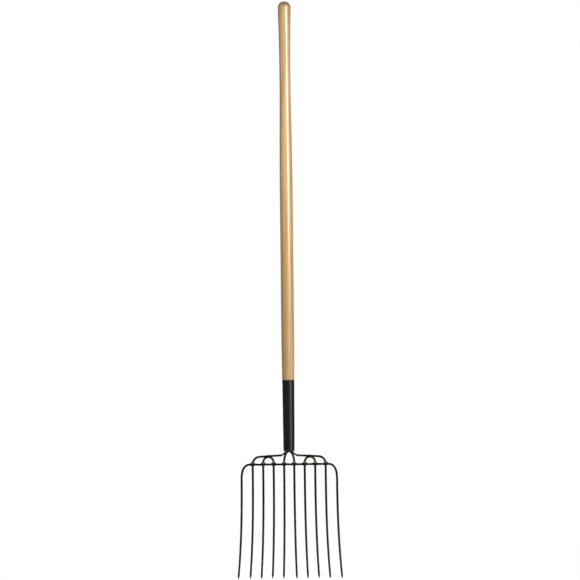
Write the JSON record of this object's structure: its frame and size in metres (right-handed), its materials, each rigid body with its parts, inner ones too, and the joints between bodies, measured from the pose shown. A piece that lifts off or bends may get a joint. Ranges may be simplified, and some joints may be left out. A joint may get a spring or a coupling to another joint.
{
  "type": "manure fork",
  "caption": "Long-handled manure fork: turned ash handle in a rolled-lip steel ferrule, with a dished head of bent oval bars welded to a crossbar.",
  "frame": {"origin": "on the handle's axis, at the middle of the straight stretch that the hands hold", "axes": "+Z along the handle towards its butt, -Y towards the hollow side of the tines, +X to the right seen from that side"},
  "size_m": [0.286, 0.0809, 1.5676],
  "materials": {
    "ash_wood": "straight-grained ash under clear lacquer",
    "ferrule_enamel": "smooth satin black enamel on drawn steel",
    "bar_enamel": "thin black enamel on rolled steel bar, worn at the points",
    "weld_enamel": "lumpy weld bead under thin black enamel",
    "forged_steel": "dark forged steel"
  },
  "bodies": {
    "root": {"handle": "ash_wood", "ferrule": "ferrule_enamel", "tang": "forged_steel", "ferrule_pin": "forged_steel", "outer_bow": "bar_enamel", "left_brace_tine": "bar_enamel", "right_brace_tine": "bar_enamel", "left_hairpin": "bar_enamel", "centre_hairpin": "bar_enamel", "right_hairpin": "bar_enamel", "left_root_weld": "weld_enamel", "right_root_weld": "weld_enamel", "left_crown_weld": "weld_enamel", "right_crown_weld": "weld_enamel", "crossbar_weld_2": "weld_enamel", "crossbar_weld_3": "weld_enamel", "crossbar_weld_4": "weld_enamel", "crossbar_weld_5": "weld_enamel", "crossbar_weld_6": "weld_enamel", "crossbar_weld_7": "weld_enamel", "crossbar_weld_8": "weld_enamel", "crossbar_weld_9": "weld_enamel"}
  },
  "joints": []
}
